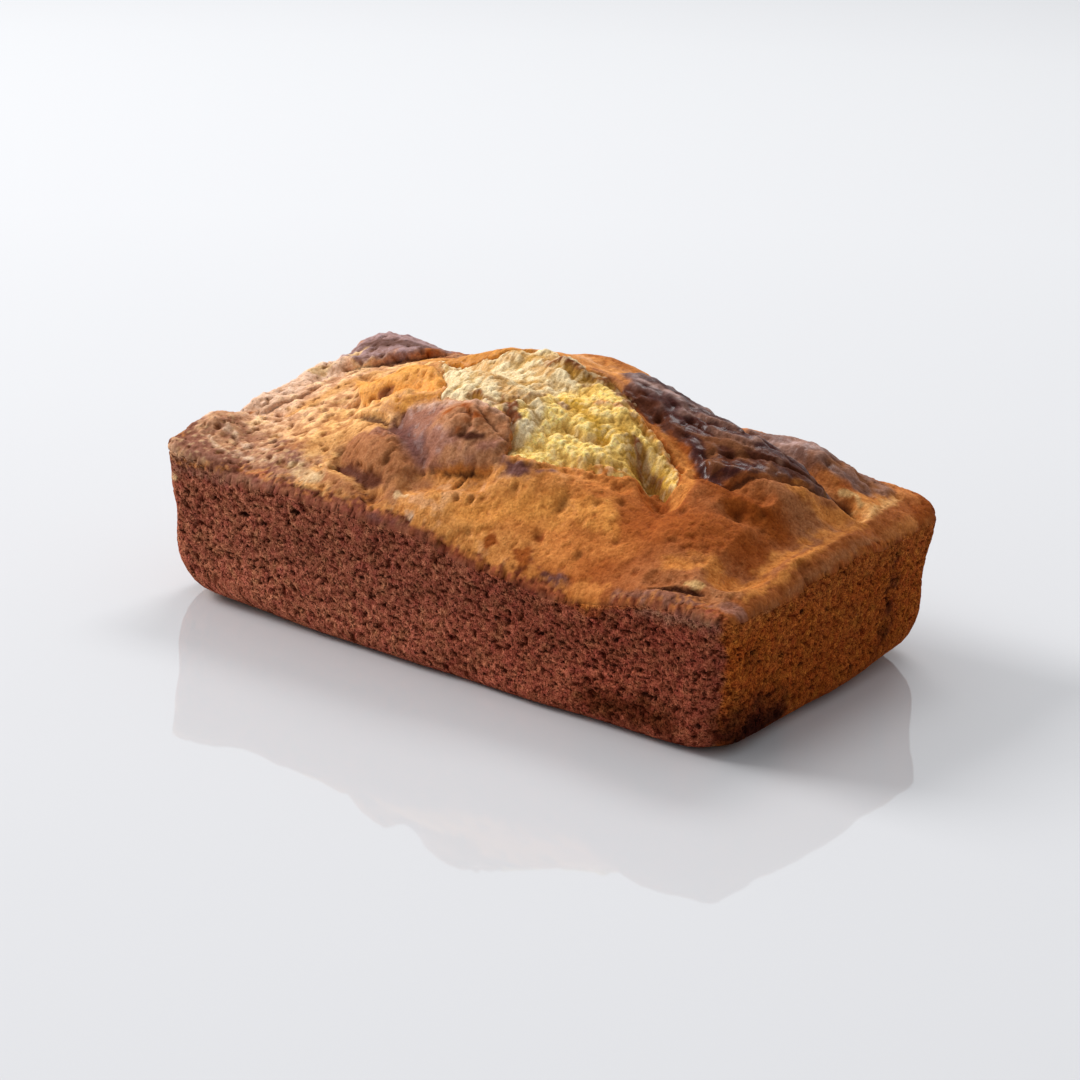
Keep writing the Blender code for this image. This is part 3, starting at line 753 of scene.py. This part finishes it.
def paint_crust(place, n):
    """Paint the crust: broad colours, then the coats, then painted shade in the hollows and painted light on the
    bumps.
    """
    x, y = place[:, 0], place[:, 1]
    top = blend(((-115, "left rim crust"), (-92, "rosy gold crust"), (-65, "gold crust"), (-40, "gold crust"),
                 (-12, "golden orange crust"), (24, "golden orange crust"), (46, "orange crust"), (62, "deep orange crust"),
                 (100, "end brown crust")), x + 6 * n["swirl"])
    top = lay(top, 0.3 * edge(n["border"] - 0.25, 0.3) * edge(30 - x, 40), "rosy gold crust")
    top = lay(top, 0.25 * edge(-n["border"] - 0.3, 0.3), "brown crust")
    left = edge(-x - 48, 30)
    top = lay(top, 0.5 * left * edge(-n["bumps"] - 0.12, 0.25), "warm brown crust")
    top = lay(top, 0.4 * left * edge(n["bumps"] - 0.15, 0.25), "speckled gold crust")
    behind = edge(y - 30 + 8 * n["swirl"], 14)
    top = lay(top, behind * 0.7, "orange crust")
    top = lay(top, behind * edge(n["swirl"] - 0.05, 0.3) * 0.85, "brown crust")
    for finish, shape, softness, ragged, points in TOP_COATS:
        top = lay(top, edge(shape(place[:, :2], points) + ragged * n["border"], softness), finish)
    # Painted shade in the splits and inside the pits.
    for line in SPLITS:
        top = lay(top, 0.85 * edge(stroke(place[:, :2], line) + 0.6 * n["grit"] - 0.7, 0.8), "pit shade")
    for pit_x, pit_y, radius, depth in PITS:
        away = np.hypot(x - pit_x, y - pit_y) / radius
        top = lay(top, min(depth / 2, 1) * 0.75 * np.exp(-(away * (1.2 + 0.5 * n["bumps"])) ** 2), "pit shade")
    gloss = np.maximum(edge(patch(place, GLOSSY_FOLD) + n["bumps"], 3), 0.8 * edge(stroke(place[:, :2], BACK_LOBE), 5))
    top = lay(top, gloss * 0.6 * edge(n["folds"] - 0.15, 0.3) * edge(x - 50, 16), "toasted chocolate")
    # Painted highlight streaks on the fold tops of the glossy ridge.
    top = lay(top, gloss * 0.35 * edge(n["folds"] - 0.1, 0.5) * edge(y - 0.12 * (x - 40) - 4, 6), "painted highlight")
    # Painted shade in the valleys between the folds.
    top = lay(top, gloss * 0.5 * edge(-n["folds"] - 0.3, 0.2), "pit shade")
    mottled = edge(patch(place, MOTTLED) + 4 * n["border"], 8)
    top = lay(top, 0.6 * mottled * edge(-n["bumps"] - 0.05, 0.3), "violet brown band")
    top = lay(top, 0.5 * mottled * edge(n["specks"] - 0.3, 0.2), "cream lump")
    torn = patch(place, CRACK) + 1.3 * n["bumps"] + 0.7 * n["grit"]
    top = lay(top, edge(torn - 1.0, 1.4), "shaded crumb")
    pitted = 0.35 + 0.65 * edge(-x - 30, 40)
    # Painted shade in the hollows and painted light on the bumps, from the same noises as the relief.
    hollow_shade = 0.18 * n["bumps"] + 0.34 * n["grit"] + 0.1 * n["lumps"] - 0.5 * pitted * below(n["dents"], -0.38, 0.14) + 0.03
    top[:, :3] *= (1 + np.clip(hollow_shade, -0.6, 0.4))[:, None] ** (0.75, 1.1, 1.5)
    top[:, 4] = np.maximum(top[:, 4], 0.3 * (1 - gloss))
    return top


def paint_sponge(place, n, hole=0.0):
    """Paint the sponge: chocolate in front, amber at the right end, both out of sight, with painted shade in its pores
    and holes.
    """
    x, y = place[:, 0], place[:, 1]
    swirl = n["swirl"]
    front = blend(((-115, "warm chocolate sponge"), (-60, "warm chocolate sponge"), (0, "chocolate sponge"),
                   (70, "red chocolate sponge"), (115, "red chocolate sponge")), x + 14 * swirl)
    end = blend(((-0.5, "dark sponge"), (0.0, "amber sponge"), (0.5, "light amber sponge")), 0.1 + 0.4 * swirl)
    hidden = blend(((0.0, "chocolate sponge"), (0.6, "amber sponge")), swirl) * (0.62, 0.62, 0.6, 1, 1)
    turn = edge(np.abs(x) - np.abs(y) - (LENGTH - WIDTH) / 2 + 1.5 * n["border"], 3.0)[:, None]
    side = np.where((y < 0)[:, None], front, hidden) * (1 - turn)
    side += np.where((x > 0)[:, None], end, hidden) * turn
    for finish, shape, softness, ragged, points in SIDE_COATS:
        side = lay(side, edge(shape(place, points) + ragged * n["border"], softness) * 0.9, finish)
    deep = sponge_side(place - (0, 0, -3.0), 1.6 * n["border"])
    side = lay(side, 0.4 * (1 - deep) * edge(x + 10, 50), "light amber sponge")
    coarse = side[:, 4:5]
    side[:, :3] *= (1 + 0.3 * edge(20 - place[:, 2], 20) * (x < 112) + 0.1 * edge(-x - 60, 40))[:, None]
    # Painted shade in the pores, which the relief also sinks.
    dark = 0.8 * below(n["pores"], -0.42, 0.2) + 0.5 * below(n["small pores"], -0.3, 0.2)
    side[:, :3] *= 1 + (0.7 * n["bumps"] + 0.5 * n["specks"])[:, None] * (-0.08, 0.2, 0.0)
    light = 0.5 * edge(n["specks"] - 0.25, 0.3) + 0.3 * n["grit"] - 0.05
    side[:, :3] *= (1 + light[:, None] * (1.0, 1.15, 1.25) * coarse)
    side[:, :3] *= (1 - np.clip(dark, 0, 0.85)[:, None] * coarse) ** (0.9, 1.2, 1.3)
    # Painted shade inside the larger holes, darker the deeper the hole.
    return lay(side, np.clip(hole / 0.8, 0, 1) ** 0.6 * 0.9, "black sponge")


def paint_skin(place, n, hole):
    """Give each point its colour, shine and openness."""
    ragged = lip_edge(place, n)
    bare = sponge_side(place, ragged)[:, None]
    paint = paint_crust(place, n) * (1 - bare) + paint_sponge(place, n, hole) * bare
    lip = sponge_side(place - (0, 0, 1.6), ragged) - sponge_side(place + (0, 0, 1.2), ragged)
    lip = lip * (0.25 + 0.75 * edge(106 - place[:, 0], 6))
    paint = lay(paint, 0.5 * lip * edge(n["specks"] - 0.1, 0.2), "golden tip")
    paint = lay(paint, 0.6 * lip * edge(-n["specks"] - 0.15, 0.2), "dark sponge")
    return np.clip(paint, 0, 1)


lid_paint = paint_skin(lid_place, lid_noises, np.zeros(len(lid_place)))
case_paint = paint_skin(case_place, case_noises, hole_depth)
print("mean crust colour", lid_paint[:, :3].mean(axis=0).round(3))

# %% [markdown]
# ## Materials
# A mesh carries its paint as attributes on its points; the material reads them and adds
# what is finer than the mesh: the grain of the crust, the mesh of tiny bubbles in the
# sponge, and the dull or oily shine of each.


# %% Material helper
def add(tree, kind, settings=(), links=()):
    """Add a node, set its values and link its inputs, given as (input, source socket)."""
    node = tree.nodes.new(kind)
    for name, value in dict(settings).items():
        if hasattr(node, name):
            setattr(node, name, value)
        else:
            node.inputs[name].default_value = value
    for name, source in links:
        tree.links.new(source, node.inputs[name])
    return node


def baked(name, round_holes, bubble_mm, grain_mm, bump_mm, speckle, dull, glossy, specular):
    """Make a material for a baked surface out of its painted attributes."""
    material = bpy.data.materials.new(name)
    material.use_nodes = True
    tree = material.node_tree
    skin = tree.nodes["Principled BSDF"]
    skin.inputs["Specular IOR Level"].default_value = specular
    skin.inputs["Coat Roughness"].default_value = 0.25
    where = add(tree, "ShaderNodeTexCoord").outputs["Object"]
    tint = add(tree, "ShaderNodeAttribute", {"attribute_name": "tint"})
    shine = add(tree, "ShaderNodeAttribute", {"attribute_name": "shine"})
    sponge = add(tree, "ShaderNodeAttribute", {"attribute_name": "sponge"})
    fine = add(tree, "ShaderNodeTexNoise", {"Scale": 1000 / grain_mm, "Detail": 3.0, "Roughness": 0.6}, [("Vector", where)])
    if round_holes:
        bubbles = add(tree, "ShaderNodeTexVoronoi", {"Scale": 1000 / bubble_mm}, [("Vector", where)]).outputs["Distance"]
        closed, opened = 0.26, 0.1
    else:
        bubbles = add(tree, "ShaderNodeTexNoise", {"Scale": 1000 / bubble_mm, "Detail": 1.0}, [("Vector", where)]).outputs["Fac"]
        closed, opened = 0.42, 0.3
    hole = add(tree, "ShaderNodeMapRange", {"From Min": opened, "From Max": closed, "To Min": 1.0, "To Max": 0.0},
               [("Value", bubbles)])
    open_hole = add(tree, "ShaderNodeMath", {"operation": "MULTIPLY"},
                    [(0, hole.outputs["Result"]), (1, sponge.outputs["Fac"])])
    speck = add(tree, "ShaderNodeMapRange", {"data_type": "FLOAT_VECTOR"}, [(6, fine.outputs["Fac"])])
    speck.inputs[7].default_value = (0.38, 0.38, 0.38)
    speck.inputs[8].default_value = (0.62, 0.62, 0.62)
    speck.inputs[9].default_value = (1.0 - speckle, 1.0 - 1.3 * speckle, 1.0 - 1.4 * speckle)
    speck.inputs[10].default_value = (1.0 + speckle, 1.0 + 1.2 * speckle, 1.0 + 1.4 * speckle)
    grained = add(tree, "ShaderNodeVectorMath", {"operation": "MULTIPLY"}, [(0, tint.outputs["Color"]), (1, speck.outputs["Vector"])])
    shade = add(tree, "ShaderNodeMapRange", {"To Min": 1.0, "To Max": 0.5}, [("Value", open_hole.outputs[0])])
    mottled = add(tree, "ShaderNodeVectorMath", {"operation": "SCALE"}, [(0, grained.outputs["Vector"]), ("Scale", shade.outputs["Result"])])
    tree.links.new(mottled.outputs["Vector"], skin.inputs["Base Color"])
    rough = add(tree, "ShaderNodeMapRange", {"To Min": dull, "To Max": glossy}, [("Value", shine.outputs["Fac"])])
    tree.links.new(rough.outputs["Result"], skin.inputs["Roughness"])
    coat = add(tree, "ShaderNodeMapRange", {"From Min": 0.28, "From Max": 1.0, "To Min": 0.0, "To Max": 0.36},
               [("Value", shine.outputs["Fac"])])
    tree.links.new(coat.outputs["Result"], skin.inputs["Coat Weight"])
    height = add(tree, "ShaderNodeMath", {"operation": "SUBTRACT"}, [(0, fine.outputs["Fac"]), (1, open_hole.outputs[0])])
    bump = add(tree, "ShaderNodeBump", {"Strength": 1.0, "Distance": bump_mm * MM}, [("Height", height.outputs[0])])
    tree.links.new(bump.outputs["Normal"], skin.inputs["Normal"])
    return material


# Baked crust: starch and sugar set to a thin skin, satin to glossy; its grain is under a millimetre.
baked_crust = baked("baked_marble_crust", True, 2.1, 0.8, 0.3, speckle=0.14, dull=0.65, glossy=0.3, specular=0.03)
# Sponge pressed against the tin: matt, a fine open crumb that swallows nearly all gloss.
sponge_side_finish = baked("matt_sponge_side", False, 1.0, 0.5, 0.4, speckle=0.45, dull=0.8, glossy=0.5, specular=0.01)
# Torn butter crumb: soft, moist and open, with no skin on it.
butter_crumb = baked("torn_butter_crumb", False, 1.0, 0.6, 0.1, speckle=0.15, dull=0.75, glossy=0.5, specular=0.02)
print("three materials")


# %% Turn a sheet into a finished piece
def finished(name, mesh, skin, paint, material):
    """Move a bmesh's points to the skin, in metres, store the paint and make the object."""
    for point, spot in zip(mesh.verts, (skin * MM).tolist()):
        point.co = spot
    bmesh.ops.recalc_face_normals(mesh, faces=mesh.faces)
    data = bpy.data.meshes.new(name)
    mesh.to_mesh(data)
    mesh.free()
    data.attributes.new("tint", "FLOAT_COLOR", "POINT").data.foreach_set(
        "color", np.hstack([paint[:, :3], np.ones((len(paint), 1))]).ravel())
    data.attributes.new("shine", "FLOAT", "POINT").data.foreach_set("value", paint[:, 3])
    data.attributes.new("sponge", "FLOAT", "POINT").data.foreach_set("value", paint[:, 4])
    data.shade_smooth()
    piece = bpy.data.objects.new(name, data)
    bpy.context.scene.collection.objects.link(piece)
    piece.data.materials.append(material)
    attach(piece, "root")
    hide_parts("marble_loaf")
    triangles = sum(len(face.vertices) - 2 for face in data.polygons)
    print(f"{name}: {triangles} triangles")
    return piece


finished("cake_crust", lid, lid_skin, lid_paint, baked_crust)
finished("cake_sides", case, case_skin, case_paint, sponge_side_finish)

# %% [markdown]
# ## Torn crumb
# Inside the crack the butter crumb shows: soft clumps the size of a lentil, with gaps between
# them that carry painted shade, and no skin.  It is its own piece with finer cells: a flat sheet cut to the
# crack's outline, lifted to the dome.  A noise whose valleys are sharp makes the clumps.

# %% Torn crumb sheet
CRUMB_CELL = 0.38
CRUMB_SPAN = (128.0, 62.0)
CRUMB_MIDDLE = (6.0, -13.0)
crumb = bmesh.new()
bmesh.ops.create_grid(crumb, x_segments=round(CRUMB_SPAN[0] / CRUMB_CELL), y_segments=round(CRUMB_SPAN[1] / CRUMB_CELL), size=0.5)
bmesh.ops.scale(crumb, vec=(*CRUMB_SPAN, 1), verts=crumb.verts)
bmesh.ops.translate(crumb, vec=(*CRUMB_MIDDLE, 0), verts=crumb.verts)
flat = np.array([point.co[:] for point in crumb.verts])
beyond = patch(flat, CRACK) < -2.0
bmesh.ops.delete(crumb, geom=[p for p, out in zip(list(crumb.verts), beyond) if out], context="VERTS")
rim = [e for e in crumb.edges if e.is_boundary]
foot_mark = crumb.verts.layers.float.new("foot")
foot = pull_rings(crumb, foot_mark, rim, (1.0,))
bmesh.ops.holes_fill(crumb, edges=foot, sides=0)
print(len(crumb.faces), "faces of torn crumb")

# %% Torn crumb form
flat = np.array([point.co[:] for point in crumb.verts])
is_foot = np.array([point[foot_mark] for point in crumb.verts]) > 0.5
big, clump, small, bit = (grain(flat, size, octaves, shift) for size, octaves, shift in
                          ((9.0, 2, 21.0), (3.4, 1, 22.0), (1.7, 1, 24.0), (0.9, 2, 23.0)))


def clumps_of(places, size, shift):
    """Give 1 on top of each clump of about the given size and 0 in the gaps between clumps."""
    spots = ((places + shift) / size).tolist()
    nearest = np.array([noise.voronoi(Vector(p))[0][0] for p in spots])
    return np.clip(1 - nearest ** 2 * 1.6, 0, 1)


bent = flat + 0.7 * np.stack([clump, big, 0 * bit], axis=1)
lump, large_clump, small_clump = clumps_of(bent, 9.0, 5.0), clumps_of(bent, 3.4, 3.0), clumps_of(bent, 1.7, 9.0)
torn = patch(flat, CRACK)
clumps = 1.6 * lump + 0.8 * large_clump + 0.55 * small_clump
crumb_z = crust(flat[:, 0], flat[:, 1]) - middle[2] - 1.3 + 0.8 * big + clumps + 0.12 * bit - 1.5 * edge(1.0 - torn, 2.0)
CREVICES = (((46, -12, 0.8), (54, -17, 1.8), (63, -21, 1.4)), ((22, -20, 0.5), (30, -21, 1.0), (37, -18, 0.8)),
            ((-14, -25, 0.8), (-2, -25, 1.4), (7, -21, 1.2), (9, -14, 0.8)), ((0, 3, 1.0), (12, 1, 1.6), (26, 4, 1.2)),
            ((-48, -2, 1.6), (-38, -7, 1.8)), ((34, -3, 0.8), (42, -7, 1.2), (52, -10, 0.8)), ((36, -27, 0.6), (46, -23, 1.2), (54, -20, 0.8)))
for line in CREVICES:
    crumb_z -= 1.8 * edge(stroke(flat[:, :2], line) + 1.0 * clump, 2.2)
crumb_skin = np.column_stack([flat[:, 0] + 0.3 * bit, flat[:, 1] + 0.4 * small, np.where(is_foot, 45.0, crumb_z)])
print(f"crumb clumps up to {clumps.max():.1f} mm high")

# %% Torn crumb paint
CRUMB_COATS = (
    ("tan crumb", 3, 3, ((-30, -2, 2), (-16, -12, 3), (-4, -16, 3), (4, -24, 2))),
    ("tan crumb", 2, 3, ((-40, 4, 1), (-28, 3, 2), (-20, 6, 1))),
    ("tan crumb", 3, 3, ((-26, 10, 1), (-10, 8, 2.5), (2, 8, 2))),
    ("brown crumb", 2, 2, ((-14, -24, 1.6), (-2, -26, 2.6), (6, -27, 2.4), (10, -32, 2))),
    ("brown crumb", 2, 2, ((3, -22, 1.5), (8, -15, 1.6))),
    # Painted light on the front of the crumb, where the lobe casts its shadow.
    ("cream crumb", 3, 3, ((8, -20, 1), (11, -20, 2.4), (14, -27, 2.5), (12, -36, 2))),
    ("tan crumb", 3, 3, ((10, 6, 2), (18, 5, 2))),
    ("tan crumb", 2, 2, ((-36, 7, 2), (-31, 6, 2))),
    ("tan crumb", 3, 3, ((-6, -7, 1), (2, -6, 2), (6, -10, 1.5))),
    # Painted shade on the middle of the crumb, as a deeper yellow.
    ("yellow crumb in painted shade", 3, 3, ((12, -11, 1), (18, -10, 2.5), (26, -14, 2), (34, -15, 2.5), (36, -19, 2))),
    ("brown crumb", 2.5, 2.5, ((-4, 5, 1.5), (5, 3, 2.5), (14, 2, 3), (22, 4, 2), (31, 2, 3), (34, -1, 1.5))),
    # Painted shade on the far right part of the crumb, as a deeper yellow.
    ("yellow crumb in painted shade", 6, 3, ((38, -12, 2), (46, -15, 4), (58, -17, 4))),
    ("shaded crumb", 3, 3, ((40, -12, 1), (46, -17, 2), (55, -18, 1.5))),
    ("golden tip", 3, 3, ((48, -7, 1), (56, -9, 1), (62, -13, 1))),
    ("golden tip", 3, 3, ((34, -29, 0.5), (44, -26, 1.2), (54, -21, 1))),
    ("golden tip", 1.5, 1.5, ((24, -7, 0.6), (34, -4, 1), (46, -6, 1))),
    ("brown crumb", 1.5, 1, ((14, -13, 1), (17, -13, 1.3))),
    ("tan crumb", 3, 3, ((-8, 2, 2), (0, 0, 2))),
    ("chocolate crumb", 1.5, 3, ((-2, 4, 1), (8, 4, 3), (16, 6, 4.5), (24, 6, 4.5), (31, 3, 4), (37, -1, 2.5))),
    ("chocolate crumb", 1.5, 3, ((-12, -24, 1), (-4, -25, 2.5), (4, -26, 2.5), (10, -29, 1.5))),
    ("chocolate crumb", 1.2, 2, ((43, -11, 0.8), (49, -14, 2), (56, -17, 2.2), (62, -20, 1.2))),
)
crumb_paint = blend(((0, "cream crumb"), (5, "yellow crumb")), flat[:, 0] - 0.3 * (flat[:, 1] + 25) + 4 * clump + 4 * big - 3)
for finish, softness, ragged, points in CRUMB_COATS:
    crumb_paint = lay(crumb_paint, edge(stroke(flat[:, :2], points) + ragged * clump, softness), finish)
for line in CREVICES:
    crumb_paint = lay(crumb_paint, 0.75 * edge(stroke(flat[:, :2], line) + 1.0 * clump, 2.0), "shaded crumb")
# Painted shade in the gaps between the clumps; painted light on the clump tops, and lighter paint the higher a clump
# stands.
gap = 0.5 * edge(0.2 - large_clump, 0.3) + 0.35 * edge(0.2 - small_clump, 0.3)
crumb_paint = lay(crumb_paint, np.clip(gap - 0.5 * big, 0, 0.7), "shaded crumb")
crumb_paint = lay(crumb_paint, 0.35 * edge(small_clump - 0.6, 0.4) * edge(large_clump - 0.4, 0.5), "cream crumb")
crumb_paint[:, :3] *= (0.98 + 0.14 * (large_clump + small_clump - 1) + 0.1 * lump + 0.25 * bit)[:, None] ** (0.8, 1.1, 1.6)
finished("torn_crumb", crumb, crumb_skin, np.clip(crumb_paint, 0, 1), butter_crumb)


# %% [markdown]
# ## Floor and light
# The loaf stands on a plain pale floor with a polish, which mirrors it faintly.  A pale
# sky lights it from all round, and one large soft lamp stands high on its left.

# %% Floor, sky and lamp
floor_mesh = bmesh.new()
bmesh.ops.create_grid(floor_mesh, x_segments=1, y_segments=1, size=6.0)
floor = bpy.data.objects.new("floor", bpy.data.meshes.new("floor"))
floor_mesh.to_mesh(floor.data)
bpy.context.scene.collection.objects.link(floor)
polished = bpy.data.materials.new("polished_pale_stone")
polished.use_nodes = True
stone = polished.node_tree.nodes["Principled BSDF"]
stone.inputs["Base Color"].default_value = (*colour("#d2d2d4"), 1)
stone.inputs["Roughness"].default_value = 0.03
stone.inputs["IOR"].default_value = 1.5
floor.data.materials.append(polished)
floor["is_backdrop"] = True

world = bpy.data.worlds.new("pale_room")
bpy.context.scene.world = world
world.use_nodes = True
room = world.node_tree
sky = room.nodes["Background"]
BRIGHT_SIDE = Vector((-0.75, 0.35, 0.45)).normalized()
direction = add(room, "ShaderNodeTexCoord")
towards = add(room, "ShaderNodeVectorMath", {"operation": "DOT_PRODUCT"}, [(0, direction.outputs["Generated"])])
towards.inputs[1].default_value = BRIGHT_SIDE
glow = add(room, "ShaderNodeMapRange", {"From Min": -0.9, "From Max": 0.9, "To Min": 0.16, "To Max": 0.9},
           [("Value", towards.outputs["Value"])])
room.links.new(glow.outputs["Result"], sky.inputs["Strength"])
sky.inputs["Color"].default_value = (*colour("#f6f8fb"), 1)


def soft_lamp(name, place, aim, size, watts):
    """Hang a square soft lamp at a place, turned towards its aim, in metres."""
    lamp = bpy.data.objects.new(name, bpy.data.lights.new(name, "AREA"))
    lamp.data.shape = "RECTANGLE"
    lamp.data.size, lamp.data.size_y = size
    lamp.data.energy = watts
    turn = (Vector(aim) - Vector(place)).to_track_quat("-Z", "Y")
    lamp.matrix_world = Matrix.Translation(Vector(place)) @ turn.to_matrix().to_4x4()
    bpy.context.scene.collection.objects.link(lamp)
    return lamp


soft_lamp("left_window", (-2.6, -0.55, 1.75), (0, 0, 0.04), (1.4, 1.2), 82)
soft_lamp("back_window", (-0.6, 1.5, 2.0), (0, 0, 0.04), (1.2, 0.7), 22)
bpy.context.scene.view_settings.view_transform = "Standard"
print("floor, sky and lamp are in place")

# %% Print the sizes of the solid and of the dressed loaf
dressed_box = [list(corner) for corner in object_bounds()]
for title, box in (("solid", cad_box), ("dressed", dressed_box)):
    print(title, "box in mm:", [[round(v * 1000, 1) for v in corner] for corner in box])
